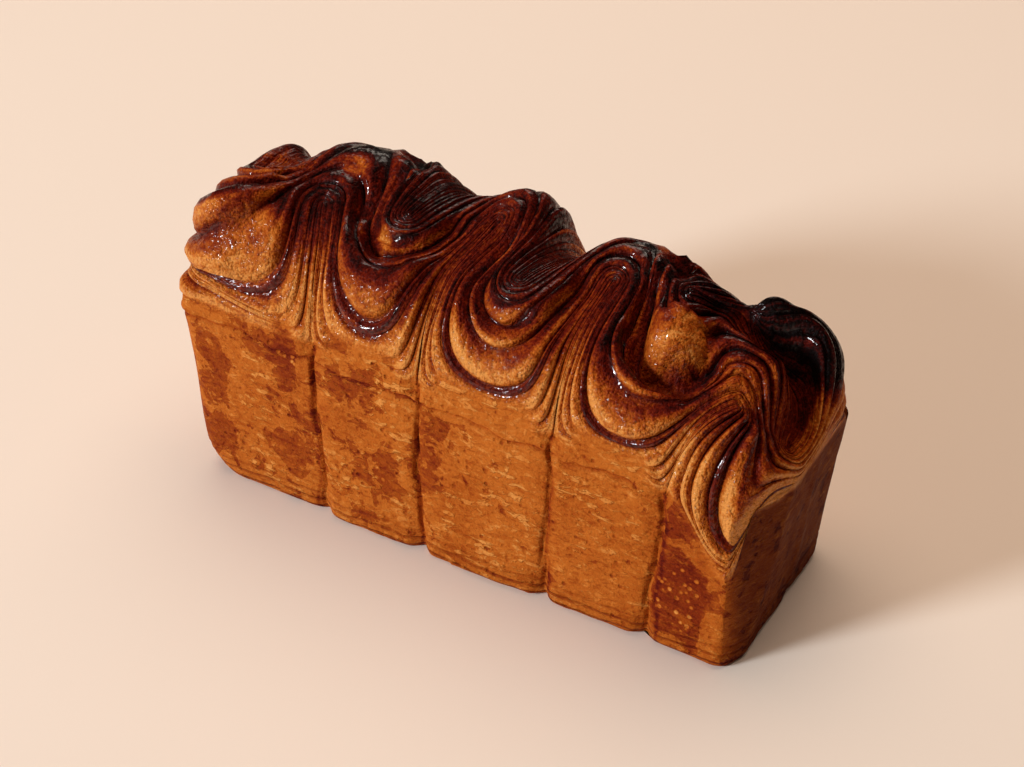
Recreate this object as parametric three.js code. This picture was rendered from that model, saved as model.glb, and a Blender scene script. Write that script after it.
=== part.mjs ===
import * as THREE from 'three';
import { ParametricGeometry } from 'three/addons/geometries/ParametricGeometry.js';
import { mergeGeometries, mergeVertices } from 'three/addons/utils/BufferGeometryUtils.js';

// A laminated brioche loaf. One ribbon of layered dough stands on edge, folded to and fro along a
// straight tin. Below the rim it took the tin's flat sides, and above the rim its layers open into
// nested ridges that wind around each fold.
// Millimetres, +Z up, length along X, front side towards -Y, standing on Z = 0.

// Sizes at the rim of the tin
const RIM_LENGTH = 314;
const RIM_WIDTH = 104;
const RIM_HEIGHT = 100;
const CORNER_RADIUS = 12;
const HALF_LENGTH = RIM_LENGTH / 2;
const HALF_WIDTH = RIM_WIDTH / 2;

// How far each side draws in from the rim down to the foot, with the front as [x, inwards] since most
// of it flares, the round of the foot's edge, and the rounder corners of the left end near the foot
const DRAW_IN = { back: 4.5, left: 7.5, right: 9.5 };
const DRAW_IN_FRONT = [[-85, 0], [-70, -2.8]];
const FOOT_ROUND = 1.5;
const FOOT_RISE = 3;
const FOOT_CORNER = 28;
const FOOT_CORNER_RISE = 24;

// The dome above the rim: reach of its rounded shoulder, tighter at the left end and, with the back
// of it, at the right end. Each pair is where the change begins and where it is full.
const DOME_REACH = 30;
const LEFT_REACH = 9;
const LEFT_REACH_X = [-105, -140];
const RIGHT_REACH = 10;
const RIGHT_REACH_X = [120, 148];
const RIGHT_REACH_Y = [-10, 20];

// Height of the crown along the length, as [x, z], over the front folds and over the back folds
const CROWN_FRONT = [
  [-157, 148], [-130, 160], [-90, 152], [-50, 151], [14, 149], [80, 142], [118, 130], [154, 112],
];
const CROWN_BACK = [
  [-154, 152], [-128, 153], [-95, 166], [-60, 169], [-26, 157], [0, 168],
  [30, 158], [55, 157], [72, 159], [88, 156], [104, 148], [120, 154], [138, 148], [154, 144],
];
const CROWN_BLEND = [-35, 30];

// Fall of the right half's back: its slope, the y it falls from, where along the length it sets in,
// and the share of it lost behind the end lobe
const BACK_FALL = 0.62;
const BACK_FALL_FROM = 18;
const BACK_FALL_X = [80, 98];
const BACK_FALL_LOSS = 0.25;
const BACK_FALL_LOSS_X = [112, 124];

// Height where the flat side ends, as [x, z], and on the right end, with where that height sets in
const SHOULDER_FRONT = [[-154, 102], [-77, 99], [90, 95], [109, 86], [143, 50], [154, 50]];
const SHOULDER_BACK = [[-154, 104], [120, 100], [154, 92]];
const SHOULDER_RIGHT = 86;
const SHOULDER_RIGHT_X = [141, 155];
const SHOULDER_RIGHT_Y = [-51, -40];

// Where the folds of the ribbon press together: each line starts at a side and ends in the eye of
// a fold. Depth and width shape the valley along it.
const FRONT_FOLDS = [
  { line: [[-77, -52], [-83, -32], [-91, -15]], depth: 14, width: 9 },
  { line: [[-19, -52], [-18, -20], [-9, 6]], depth: 14, width: 9 },
  { line: [[52, -52], [52, -25], [54, 0]], depth: 14, width: 9 },
  { line: [[109, -52], [117, -40], [129, -27]], depth: 10, width: 8 },
];
const KNOT_START = [113, 52];
const KNOT = [113, 19];
const BACK_FOLDS = [
  { line: [[-132, 52], [-134, 32], [-136, 12]], depth: 12, width: 7 },
  { line: [[-32, 52], [-45, 30], [-53, 6]], depth: 9, width: 8 },
  { line: [[29, 52], [23, 20], [17, -18]], depth: 36, width: 11 },
  { line: [KNOT_START, KNOT, [102, 14], [89, 10]], depth: 5, width: 6 },
];
// The split that parts the lobe at the right end from the last fold, from the knot to its eye
const END_SPLIT = [KNOT, [118, 10], [125, 9], [132, 13], [139, 17], [145, 14], [148, 4], [148, -12]];
const VALLEY_FADE = 0.9;
const VALLEY_CURVE = 1.5;

// Gaps that opened between layers in the oven, shallower at their ends
const GAPS = [
  { line: [[73, 2], [74, -14], [80, -27], [91, -32], [104, -28], [111, -18]], depth: 15, width: 6 },
  {
    line: [[117, 12], [125, 10], [132, 14], [139, 18], [145, 14], [147, 4], [147, -10]],
    depth: 18,
    width: 8,
  },
  { line: [[-79, 4], [-75, -7], [-75, -20]], depth: 7, width: 5 },
  { line: [[-75, 22], [-68, 19], [-62, 12]], depth: 12, width: 5 },
  { line: [[71, 21], [77, 16], [83, 10]], depth: 12, width: 5 },
  { line: [[-60, -6], [-59, -22], [-53, -31], [-41, -33]], depth: 8, width: 5 },
];
const GAP_END = 0.12;
const GAP_WALL = 3;

// Faces that swelled out as round caps
const SWELLS = [
  { at: [93, -14], rise: 9, width: 13 },
  { at: [-120, -44], rise: 3, width: 20 },
  { at: [-138, 12], rise: 2.5, width: 10 },
];

// Flat tops of tongues. The layers around a tongue lie lower from just outside its edge, and rise
// again further out.
const TONGUE_TOPS = [
  { line: [[23, 10], [20, -18]], radius: 16, drop: 6.5 },
  { line: [[-50, 6], [-47, -11]], radius: 13, drop: 5.5 },
];
const TONGUE_EDGE = [-1, 1.5];
const TONGUE_FOOT = [18, 5];
const TONGUE_ROOT = 0.6;

// Layer ridges that wind around the folds
const RIDGE_COUNT = 8;
const RIDGE_HEIGHT = 1.5;
const RIDGE_STEEPNESS = 0.22;
const RIDGE_EDGE_FADE = 4;

// How the layers spread between the two skins of the ribbon: the distance to a skin levels off at the
// reach, and nearby parts of a skin blend
const LAYER_REACH = 45;
const SKIN_BLEND = 4;
const SKIN_NEAR = 1e-3;

// Thick tongues beside the slits of two back folds. The layers crowd at the slit and run around the
// tongue with a lead over those outside.
const TONGUES = new Map([
  [1, { line: [[-52, 6], [-47, -12]], radius: 13, lead: 9 }],
  [3, { line: [[89, 10], [92, -15]], radius: 19, lead: 13 }],
]);
const TONGUE_TIP = 5;
const TONGUE_SPREAD = 0.35;

// Creases that the folds leave down the sides
const CREASE_DEPTH = 2.2;
const CREASE_WIDTH = 4.5;
const FRONT_CREASES = FRONT_FOLDS.map((fold) => fold.line[0][0]);
const BACK_CREASES = BACK_FOLDS.map((fold) => fold.line[0][0]);

// Fineness of the surface along the ribbon, through it and down the sides
const FOLD_STEPS = 8;
const PANEL_STEPS = 15;
const KNOT_STEPS = 4;
const END_STEPS = 16;
const LEFT_STEPS = 34;
const RIGHT_STEPS = 20;
const STEPS_PER_RIDGE = 2;
const SIDE_LEVELS = [0, 0.03, 0.15, 1];
const SLOPE_STEP = 1.5;
const WELD = 1e-3;
const TINY = 1e-6;

// Rows that settle between the two skins of the ribbon, rounds of settling and smoothing, samples of a
// column for each of its rows, and the share next to each skin where smoothing fades
const SETTLING_ROWS = 12;
const SETTLING_SWEEPS = 70;
const SMOOTHING_SWEEPS = 4;
const SAMPLES_PER_ROW = 8;
const SMOOTHING_FADE = 0.15;

const clamp01 = (value) => Math.min(1, Math.max(0, value));
const mix = (a, b, share) => a + (b - a) * share;
const bell = (distance, width) => Math.exp(-((distance / width) ** 2));

function ease(from, to, value) {
  const share = clamp01((value - from) / (to - from));
  return share * share * (3 - 2 * share);
}

// Value at x of a smooth run through [x, value] pairs
function along(run, x) {
  let value = run[0][1];
  for (let i = 1; i < run.length; i += 1) {
    value += (run[i][1] - run[i - 1][1]) * ease(run[i - 1][0], run[i][0], x);
  }
  return value;
}

// Distance from a point to a line of points, and the share of the line's length at the nearest spot
function nearest(line, x, y) {
  const lengths = line.slice(1).map(([bx, by], i) => Math.hypot(bx - line[i][0], by - line[i][1]));
  const total = lengths.reduce((sum, length) => sum + length, 0);
  const best = { distance: Infinity, share: 0 };
  let passed = 0;
  lengths.forEach((length, i) => {
    const [ax, ay] = line[i];
    const [dx, dy] = [line[i + 1][0] - ax, line[i + 1][1] - ay];
    const step = clamp01(((x - ax) * dx + (y - ay) * dy) / (length * length));
    const distance = Math.hypot(x - ax - step * dx, y - ay - step * dy);
    if (distance < best.distance) {
      best.distance = distance;
      best.share = (passed + step * length) / total;
    }
    passed += length;
  });
  return best;
}

// Half width of the loaf at x, with its creases, on the front or the back
function sideReach(x, front) {
  const spots = front ? FRONT_CREASES : BACK_CREASES;
  return spots.reduce((reach, spot) => reach - CREASE_DEPTH * bell(x - spot, CREASE_WIDTH), HALF_WIDTH);
}

// Distance inwards from the rim's rounded outline
function inset(x, y) {
  const lengthwise = Math.abs(x) - (HALF_LENGTH - CORNER_RADIUS);
  const across = Math.abs(y) - (sideReach(x, y < 0) - CORNER_RADIUS);
  const outside = Math.hypot(Math.max(lengthwise, 0), Math.max(across, 0));
  return CORNER_RADIUS - outside - Math.min(Math.max(lengthwise, across), 0);
}

function shoulderHeight(x, y) {
  const height = mix(along(SHOULDER_FRONT, x), along(SHOULDER_BACK, x), clamp01(y / RIM_WIDTH + 0.5));
  return mix(height, SHOULDER_RIGHT, ease(...SHOULDER_RIGHT_X, x) * ease(...SHOULDER_RIGHT_Y, y));
}

// Height that the dough reached, and the same with its valleys, gaps, swells and tongues
function plainCrown(x, y) {
  return mix(along(CROWN_FRONT, x), along(CROWN_BACK, x), ease(...CROWN_BLEND, y));
}

function foldedCrown(x, y) {
  const fall = ease(...BACK_FALL_X, x) * (1 - BACK_FALL_LOSS * ease(...BACK_FALL_LOSS_X, x));
  let crown = plainCrown(x, y) - BACK_FALL * fall * Math.max(y - BACK_FALL_FROM, 0);
  for (const { line, depth, width } of [...FRONT_FOLDS, ...BACK_FOLDS]) {
    const { distance, share } = nearest(line, x, y);
    crown -= depth * (1 - VALLEY_FADE * share) ** VALLEY_CURVE * bell(distance, width);
  }
  for (const { line, depth, width } of GAPS) {
    const { distance, share } = nearest(line, x, y);
    const open = Math.sin(Math.PI * mix(GAP_END, 1 - GAP_END, share));
    crown -= depth * open * Math.exp(-((distance / width) ** GAP_WALL));
  }
  for (const { at, rise, width } of SWELLS) {
    const out = Math.hypot(x - at[0], y - at[1]) / width;
    crown += rise * Math.sqrt(Math.max(1 - out * out, 0));
  }
  for (const { line, radius, drop } of TONGUE_TOPS) {
    const { distance, share } = nearest(line, x, y);
    const ring = ease(...TONGUE_EDGE, distance - radius) * ease(...TONGUE_FOOT, distance - radius);
    crown -= drop * ring * ease(0, TONGUE_ROOT, share);
  }
  return crown;
}

// How far in from the rim the dome reaches its crown
function domeReach(x, y) {
  const reach = mix(DOME_REACH, LEFT_REACH, ease(...LEFT_REACH_X, x));
  return mix(reach, RIGHT_REACH, ease(...RIGHT_REACH_X, x) * ease(...RIGHT_REACH_Y, y));
}

// A dome that curves in from the shoulder up to a crown
const domeTo = (crown) => (x, y) => {
  const lean = 1 - clamp01(inset(x, y) / domeReach(x, y));
  return mix(shoulderHeight(x, y), crown(x, y), Math.sqrt(1 - lean * lean));
};
const plainDome = domeTo(plainCrown);
const foldedDome = domeTo(foldedCrown);

function slopeOf(height, x, y) {
  return new THREE.Vector2(
    height(x + SLOPE_STEP, y) - height(x - SLOPE_STEP, y),
    height(x, y + SLOPE_STEP) - height(x, y - SLOPE_STEP),
  ).divideScalar(2 * SLOPE_STEP);
}

// The rim's outline, once around from the left end of the straight front
const STRAIGHT_X = HALF_LENGTH - CORNER_RADIUS;
const STRAIGHT_Y = HALF_WIDTH - CORNER_RADIUS;
const QUARTER = Math.PI / 2;
const rim = new THREE.Path()
  .moveTo(-STRAIGHT_X, -HALF_WIDTH)
  .lineTo(STRAIGHT_X, -HALF_WIDTH)
  .absarc(STRAIGHT_X, -STRAIGHT_Y, CORNER_RADIUS, -QUARTER, 0)
  .lineTo(HALF_LENGTH, STRAIGHT_Y)
  .absarc(STRAIGHT_X, STRAIGHT_Y, CORNER_RADIUS, 0, QUARTER)
  .lineTo(-STRAIGHT_X, HALF_WIDTH)
  .absarc(-STRAIGHT_X, STRAIGHT_Y, CORNER_RADIUS, QUARTER, 2 * QUARTER)
  .lineTo(-HALF_LENGTH, -STRAIGHT_Y)
  .absarc(-STRAIGHT_X, -STRAIGHT_Y, CORNER_RADIUS, 2 * QUARTER, 3 * QUARTER);
const RIM_RUN = rim.getLength();
const frontMark = (x) => (x + STRAIGHT_X) / RIM_RUN;
const backMark = (x) => (3 * STRAIGHT_X + 2 * STRAIGHT_Y + 2 * QUARTER * CORNER_RADIUS - x) / RIM_RUN;
const rightMark = (y) => (2 * STRAIGHT_X + QUARTER * CORNER_RADIUS + y + STRAIGHT_Y) / RIM_RUN;

function rimPoint(mark) {
  const point = rim.getPoint(mark % 1);
  point.y *= sideReach(point.x, point.y < 0) / HALF_WIDTH;
  return point;
}

function rimRun(from, to, steps) {
  return Array.from({ length: steps + 1 }, (_, step) => rimPoint(mix(from, to, step / steps)));
}

const onPlan = (line) => line.map((spot) => new THREE.Vector2(...spot));
const evenRun = (line, steps) => new THREE.SplineCurve(line).getSpacedPoints(steps);
const sideStart = ([x, y]) => rimPoint(y < 0 ? frontMark(x) : backMark(x));

// Points from the side to the eye of a fold
function foldRun({ line: [side, ...inner] }) {
  return evenRun([sideStart(side), ...onPlan(inner)], FOLD_STEPS);
}

// The two skins of the ribbon as paired points, from the left end of the loaf to the right
function ribbonSkins() {
  const pairs = [];
  const lay = (front, back, onEndLobe = false) => {
    front.forEach((point, step) => pairs.push({ front: point, back: back[step], onEndLobe }));
  };
  const stay = (point, run) => run.map(() => point);
  const outOf = (run) => [...run].reverse();
  const eye = (run) => run.at(-1);
  const fronts = FRONT_FOLDS.map(foldRun);
  const backs = BACK_FOLDS.slice(0, -1).map(foldRun);
  const knotted = onPlan(BACK_FOLDS.at(-1).line.slice(1));
  const toKnot = evenRun([sideStart(KNOT_START), knotted[0]], KNOT_STEPS);
  const fromKnot = evenRun(knotted, FOLD_STEPS);
  const split = evenRun(onPlan(END_SPLIT), END_STEPS);
  backs.push([...toKnot, ...fromKnot]);

  const leftEnd = rimRun(backMark(BACK_CREASES[0]), 1 + frontMark(FRONT_CREASES[0]), LEFT_STEPS);
  lay(leftEnd, leftEnd.map((_, step) => backs[0][Math.min(step, FOLD_STEPS)]));
  lay(fronts[0], stay(eye(backs[0]), fronts[0]));
  FRONT_FOLDS.forEach((_, k) => {
    const isLast = k + 1 === FRONT_FOLDS.length;
    const outward = outOf(isLast ? fromKnot : backs[k]);
    const inward = isLast ? split : backs[k + 1];
    lay(stay(eye(fronts[k]), outward), outward);
    if (!isLast) {
      const panel = rimRun(backMark(BACK_CREASES[k]), backMark(BACK_CREASES[k + 1]), PANEL_STEPS);
      lay(stay(eye(fronts[k]), panel), panel);
    }
    lay(stay(eye(fronts[k]), inward), inward);
    lay(outOf(fronts[k]), stay(eye(inward), fronts[k]));
    if (!isLast) {
      const panel = rimRun(frontMark(FRONT_CREASES[k]), frontMark(FRONT_CREASES[k + 1]), PANEL_STEPS);
      lay(panel, stay(eye(inward), panel));
      lay(fronts[k + 1], stay(eye(inward), fronts[k + 1]));
    }
  });
  const turn = rightMark(eye(split).y);
  const corner = rimRun(frontMark(FRONT_CREASES.at(-1)), turn, RIGHT_STEPS);
  lay(corner, stay(eye(split), corner));
  lay(rimRun(turn, backMark(BACK_CREASES.at(-1)), END_STEPS), outOf(split), true);
  lay(toKnot, stay(eye(toKnot), toKnot), true);
  return pairs.filter(({ front, back }, i) => {
    const before = pairs[i - 1];
    return i === 0 || front.distanceTo(before.front) + back.distanceTo(before.back) > WELD;
  });
}

// Length over the dome from the rim to a spot that far inwards in plan
function surfaceRun(inwards, x, y) {
  const reach = domeReach(x, y);
  const rise = plainCrown(x, y) - shoulderHeight(x, y);
  const turned = Math.acos(1 - clamp01(inwards / reach));
  return Math.sqrt((reach ** 2 + rise ** 2) / 2) * turned + Math.max(inwards - reach, 0);
}

// Distance to the slit of a fold, led around the tongue beside it
function slitDistance(line, tongue, x, y) {
  const slit = nearest(line, x, y).distance;
  if (!tongue) return slit;
  const outside = nearest(tongue.line, x, y).distance - tongue.radius;
  const across = slit + Math.max(-outside, 0) + SKIN_NEAR;
  const crowded = (1 - Math.exp(-slit / TONGUE_TIP)) / (1 - Math.exp(-across / TONGUE_TIP));
  const led = tongue.lead * mix(crowded, slit / across, TONGUE_SPREAD);
  return Math.min(slit, led + Math.max(outside, 0));
}

// Distance to a skin from the distances to its parts
function skinDistance(parts) {
  const total = parts.reduce((sum, part) => sum + Math.max(part, SKIN_NEAR) ** -SKIN_BLEND, 0);
  return LAYER_REACH * (1 - Math.exp(-(total ** (-1 / SKIN_BLEND)) / LAYER_REACH));
}

const BACK_RIM = [BACK_CREASES[0], BACK_CREASES.at(-1)].map((x) => [x, HALF_WIDTH]);
const FRONT_RIM = [
  BACK_RIM[0], [-HALF_LENGTH, HALF_WIDTH], [-HALF_LENGTH, -HALF_WIDTH],
  [HALF_LENGTH, -HALF_WIDTH], [HALF_LENGTH, HALF_WIDTH], BACK_RIM[1],
];

// Place of a spot through the ribbon, from its front skin (0) to its back skin (1)
function layerShare({ x, y }, onEndLobe) {
  const rimDistance = (line) => surfaceRun(nearest(line, x, y).distance, x, y);
  const split = nearest(END_SPLIT, x, y).distance;
  const toKnot = nearest([KNOT_START, KNOT], x, y).distance;
  const frontFolds = FRONT_FOLDS.map(({ line }) => nearest(line, x, y).distance);
  const backFolds = BACK_FOLDS.map(({ line }, k) => slitDistance(line, TONGUES.get(k), x, y));
  const fronts = onEndLobe ? [toKnot] : frontFolds;
  const backs = onEndLobe ? [split] : [...backFolds, split, rimDistance(BACK_RIM)];
  const front = skinDistance([...fronts, rimDistance(FRONT_RIM)]);
  const back = skinDistance(backs);
  return front / (front + back);
}

// Rows of plan points between the skins, settled until they run smoothly around the folds
function settledRows(skins) {
  const columns = skins.map(({ front, back }) => Array.from({ length: SETTLING_ROWS + 1 }, (_, row) => (
    front.clone().lerp(back, row / SETTLING_ROWS)
  )));
  for (let sweep = 0; sweep < SETTLING_SWEEPS; sweep += 1) {
    for (let i = 1; i < columns.length - 1; i += 1) {
      for (let j = 1; j < SETTLING_ROWS; j += 1) {
        columns[i][j].set(0, 0)
          .add(columns[i - 1][j]).add(columns[i + 1][j])
          .add(columns[i][j - 1]).add(columns[i][j + 1])
          .divideScalar(4);
      }
    }
  }
  return columns;
}

const RIDGE_ROWS = RIDGE_COUNT * STEPS_PER_RIDGE;

// Points of one column on the dome from skin to skin, one for each row of the layers
function spread(column, onEndLobe) {
  const spots = new THREE.SplineCurve(column).getPoints(SETTLING_ROWS * SAMPLES_PER_ROW);
  const last = spots.length - 1;
  let reached = 0;
  const shares = spots.map((spot, k) => {
    reached = k === last ? 1 : Math.max(reached, layerShare(spot, onEndLobe));
    return k === 0 ? 0 : reached;
  });
  let k = 1;
  return Array.from({ length: RIDGE_ROWS + 1 }, (_, row) => {
    const share = row / RIDGE_ROWS;
    while (k < last && shares[k] < share) k += 1;
    const step = (share - shares[k - 1]) / Math.max(shares[k] - shares[k - 1], TINY);
    const { x, y } = spots[k - 1].clone().lerp(spots[k], clamp01(step));
    return new THREE.Vector3(x, y, plainDome(x, y));
  });
}

// Columns of points along the ribbon, with rows that run smoothly from each column to the next
function layeredRibbon() {
  const skins = ribbonSkins();
  const columns = settledRows(skins).map((column, i) => spread(column, skins[i].onEndLobe));
  for (let sweep = 0; sweep < SMOOTHING_SWEEPS; sweep += 1) {
    for (let i = 1; i < columns.length - 1; i += 1) {
      for (let j = 1; j < RIDGE_ROWS; j += 1) {
        const between = columns[i - 1][j].clone().lerp(columns[i + 1][j], 0.5);
        const fromSkin = Math.min(j, RIDGE_ROWS - j) / RIDGE_ROWS;
        columns[i][j].lerp(between, 0.5 * clamp01(fromSkin / SMOOTHING_FADE));
      }
    }
  }
  return columns;
}

const ribbon = layeredRibbon();
const RIBBON_STEPS = ribbon.length - 1;

// Rounds the corners of the left end near the foot
function roundCorner(point) {
  const corner = new THREE.Vector2(
    Math.max(Math.abs(point.x) - (HALF_LENGTH - FOOT_CORNER), 0),
    Math.max(Math.abs(point.y) - (HALF_WIDTH - FOOT_CORNER), 0),
  );
  const beyond = 1 - FOOT_CORNER / Math.max(corner.length(), FOOT_CORNER);
  const low = clamp01(1 - point.z / FOOT_CORNER_RISE) ** 2;
  point.x -= Math.sign(point.x) * corner.x * beyond * low;
  point.y -= Math.sign(point.y) * corner.y * beyond * low;
}

// Draws a point in towards the foot of the tin, and around the foot's rounded edge
function drawIn(point) {
  if (point.x < 0) roundCorner(point);
  const below = Math.max(1 - point.z / RIM_HEIGHT, 0);
  const round = FOOT_ROUND * (1 - Math.sqrt(1 - (1 - clamp01(point.z / FOOT_RISE)) ** 2));
  const endwards = (point.x < 0 ? DRAW_IN.left : DRAW_IN.right) * below + round;
  const sidewards = (point.y < 0 ? along(DRAW_IN_FRONT, point.x) : DRAW_IN.back) * below + round;
  point.x *= 1 - endwards / HALF_LENGTH;
  point.y *= 1 - sidewards / HALF_WIDTH;
}

// Point of the risen top, raised along the dome's normal on the crest of a ridge
function risenPoint(step, row) {
  const rows = ribbon[step];
  const { x, y, z } = rows[row];
  const onDome = new THREE.Vector3(x, y, z + foldedDome(x, y) - plainDome(x, y));
  if (row === 0 || row === RIDGE_ROWS) return onDome;
  const slope = slopeOf(plainDome, x, y);
  const normal = new THREE.Vector3(-slope.x, -slope.y, 1).normalize();
  const width = rows[row - 1].distanceTo(rows[row + 1]);
  const height = Math.min(RIDGE_HEIGHT, RIDGE_STEEPNESS * width) * clamp01(inset(x, y) / RIDGE_EDGE_FADE);
  const wave = -Math.cos((2 * Math.PI * row) / STEPS_PER_RIDGE);
  return onDome.addScaledVector(normal, height * wave);
}

// Drops the triangles that closed to nothing at the eyes of the folds
function dropEmptyFaces(geometry) {
  const corners = Array.from(geometry.index.array);
  const kept = [];
  for (let k = 0; k < corners.length; k += 3) {
    const [a, b, c] = corners.slice(k, k + 3);
    if (a !== b && b !== c && c !== a) kept.push(a, b, c);
  }
  geometry.setIndex(kept);
  return geometry;
}

// The open edge of a sheet, as one closed chain of its vertices
function openEdge(geometry) {
  const corners = Array.from(geometry.index.array);
  const next = new Map();
  const edges = new Set();
  for (let k = 0; k < corners.length; k += 1) {
    const to = k % 3 === 2 ? corners[k - 2] : corners[k + 1];
    edges.add(`${corners[k]} ${to}`);
  }
  edges.forEach((edge) => {
    const [from, to] = edge.split(' ');
    if (!edges.has(`${to} ${from}`)) next.set(Number(from), Number(to));
  });
  const [first] = next.keys();
  const chain = [first];
  for (let at = next.get(first); at !== first; at = next.get(at)) chain.push(at);
  return chain;
}

const bare = (geometry) => {
  geometry.deleteAttribute('normal');
  geometry.deleteAttribute('uv');
  return geometry;
};
const welded = (geometry) => dropEmptyFaces(mergeVertices(geometry, WELD));

function loafGeometry() {
  const top = welded(bare(new ParametricGeometry((u, v, target) => {
    target.copy(risenPoint(Math.round(u * RIBBON_STEPS), Math.round(v * RIDGE_ROWS)));
  }, RIBBON_STEPS, RIDGE_ROWS)));
  const edge = openEdge(top);
  const { position } = top.attributes;
  const sideSpot = (step, share, target) => {
    target.fromBufferAttribute(position, edge[step % edge.length]);
    target.z *= share;
  };
  const levels = SIDE_LEVELS.length - 1;
  const side = bare(new ParametricGeometry((u, v, target) => {
    sideSpot(Math.round(u * edge.length), SIDE_LEVELS[Math.round(v * levels)], target);
  }, edge.length, levels));
  const foot = bare(new THREE.CircleGeometry(1, edge.length));
  const spot = new THREE.Vector3();
  for (let step = 0; step <= edge.length; step += 1) {
    sideSpot(step, 0, spot);
    foot.attributes.position.setXYZ(step + 1, spot.x, spot.y, spot.z);
  }
  foot.index.array.reverse();
  const closed = welded(mergeGeometries([top, side, foot]));
  for (let k = 0; k < closed.attributes.position.count; k += 1) {
    spot.fromBufferAttribute(closed.attributes.position, k);
    drawIn(spot);
    closed.attributes.position.setXYZ(k, spot.x, spot.y, spot.z);
  }
  closed.computeBoundingBox();
  const centre = closed.boundingBox.getCenter(new THREE.Vector3());
  closed.translate(-centre.x, -centre.y, -closed.boundingBox.min.z);
  closed.computeVertexNormals();
  return closed;
}

const crust = new THREE.MeshStandardMaterial({ color: '#8a4716', roughness: 0.45, metalness: 0 });
const loaf = new THREE.Mesh(loafGeometry(), crust);
loaf.name = 'brioche_loaf';

const model = new THREE.Group();
model.add(loaf);

export default model;
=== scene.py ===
import math

import bpy
import numpy as np
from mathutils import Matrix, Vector


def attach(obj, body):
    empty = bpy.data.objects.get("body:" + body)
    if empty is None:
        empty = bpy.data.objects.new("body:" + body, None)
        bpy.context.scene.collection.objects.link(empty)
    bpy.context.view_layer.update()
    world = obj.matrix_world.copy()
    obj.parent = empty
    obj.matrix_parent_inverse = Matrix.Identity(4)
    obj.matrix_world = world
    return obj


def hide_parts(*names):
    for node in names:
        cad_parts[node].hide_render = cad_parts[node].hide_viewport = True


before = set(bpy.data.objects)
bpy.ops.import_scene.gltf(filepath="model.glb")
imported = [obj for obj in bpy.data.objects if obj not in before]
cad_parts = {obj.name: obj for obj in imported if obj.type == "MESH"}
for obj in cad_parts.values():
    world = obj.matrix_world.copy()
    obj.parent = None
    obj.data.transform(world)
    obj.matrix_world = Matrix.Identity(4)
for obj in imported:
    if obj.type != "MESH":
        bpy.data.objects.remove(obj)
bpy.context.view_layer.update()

# A laminated brioche loaf. One ribbon of layered dough stands on edge, folded to and fro along a
# straight tin. Lengths are millimetres until the mesh is made. A pair whose name ends in _X, _Y, _Z
# or _OVER says where along that measure a change begins and where it is complete.
MM = 0.001

# Sizes at the rim of the tin, and how far each side draws in towards the foot
RIM_LENGTH, RIM_WIDTH, RIM_HEIGHT = 314.0, 104.0, 100.0
CORNER = 12.0
HALF_LENGTH, HALF_WIDTH = RIM_LENGTH / 2, RIM_WIDTH / 2
STRAIGHT_X, STRAIGHT_Y = HALF_LENGTH - CORNER, HALF_WIDTH - CORNER
DRAW_IN = {"back": 4.5, "left": 7.5, "right": 9.5}
DRAW_IN_FRONT = [(-85, 0.0), (-70, -2.8)]
FOOT_ROUND, FOOT_RISE = 1.5, 3.0
FOOT_CORNER, FOOT_CORNER_RISE = 28.0, 24.0

# The upright edge between the front and the right end, which is sharper than the others
EDGE_FOOT, EDGE_LEAN, EDGE_SLANT, EDGE_PRESS = 143.0, 0.04, 0.5, 0.88
EDGE_Z = (116, 90)

# The dome above the rim
DOME_REACH, LEFT_REACH, RIGHT_REACH = 30.0, 9.0, 10.0
LEFT_REACH_X = (-105, -140)
RIGHT_REACH_X, RIGHT_REACH_Y = (120, 148), (-10, 20)
CROWN_FRONT = [(-157, 148), (-130, 160), (-90, 152), (-50, 151), (14, 149), (80, 142), (118, 130),
               (154, 112)]
CROWN_BACK = [(-154, 144), (-128, 147), (-95, 166), (-60, 169), (-26, 157), (0, 168), (30, 158),
              (55, 157), (72, 159), (88, 156), (104, 148), (120, 154), (138, 148), (154, 144)]
CROWN_Y = (-35, 30)
SHOULDER_FRONT = [(-154, 102), (-77, 99), (90, 95), (109, 86), (143, 50), (154, 50)]
SHOULDER_BACK = [(-154, 104), (120, 100), (154, 92)]
SHOULDER_RIGHT, SHOULDER_RIGHT_X, SHOULDER_RIGHT_Y = 86.0, (141, 155), (-51, -40)
BACK_FALL, BACK_FALL_FROM, BACK_FALL_X = 0.62, 18.0, (80, 98)
END_FALL_LESS, END_FALL_LESS_X = 0.25, (112, 124)

# Where the folds press together: (points from a side to the eye of the fold, depth, width)
FRONT_FOLDS = [
    ([(-77, -52), (-83, -32), (-91, -15)], 14, 9),
    ([(-19, -52), (-18, -20), (-9, 6)], 14, 9),
    ([(52, -52), (52, -25), (54, 0)], 14, 9),
    ([(109, -52), (117, -40), (129, -27)], 10, 8),
]
KNOT_START, KNOT = (113, 52), (113, 19)
BACK_FOLDS = [
    ([(-132, 52), (-134, 32), (-136, 12)], 12, 7),
    ([(-32, 52), (-43, 26), (-49, -6)], 9, 8),
    ([(29, 52), (23, 20), (17, -18)], 36, 11),
    ([KNOT_START, KNOT, (102, 14), (89, 10)], 5, 6),
    ([KNOT_START, KNOT, (118, 10), (125, 9.5), (132, 11.5), (138, 12.5), (144, 9), (147.5, 1.5),
      (148.5, -12)], 1, 5),
]
VALLEY_FADE, VALLEY_CURVE = 0.9, 1.5
FRONT_CREASES = [fold[0][0][0] for fold in FRONT_FOLDS]
BACK_CREASES = [fold[0][0][0] for fold in BACK_FOLDS[:-1]]
CREASE_DEPTH, CREASE_WIDTH = 2.2, 4.5

# Thick tongues that the layers wind around, by back fold: (points, radius, lead over the layers outside)
TONGUES = {3: ([(89, 10), (92, -15)], 19, 13)}
TONGUE_TIP, TONGUE_SPREAD = 14.0, 0.5

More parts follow.
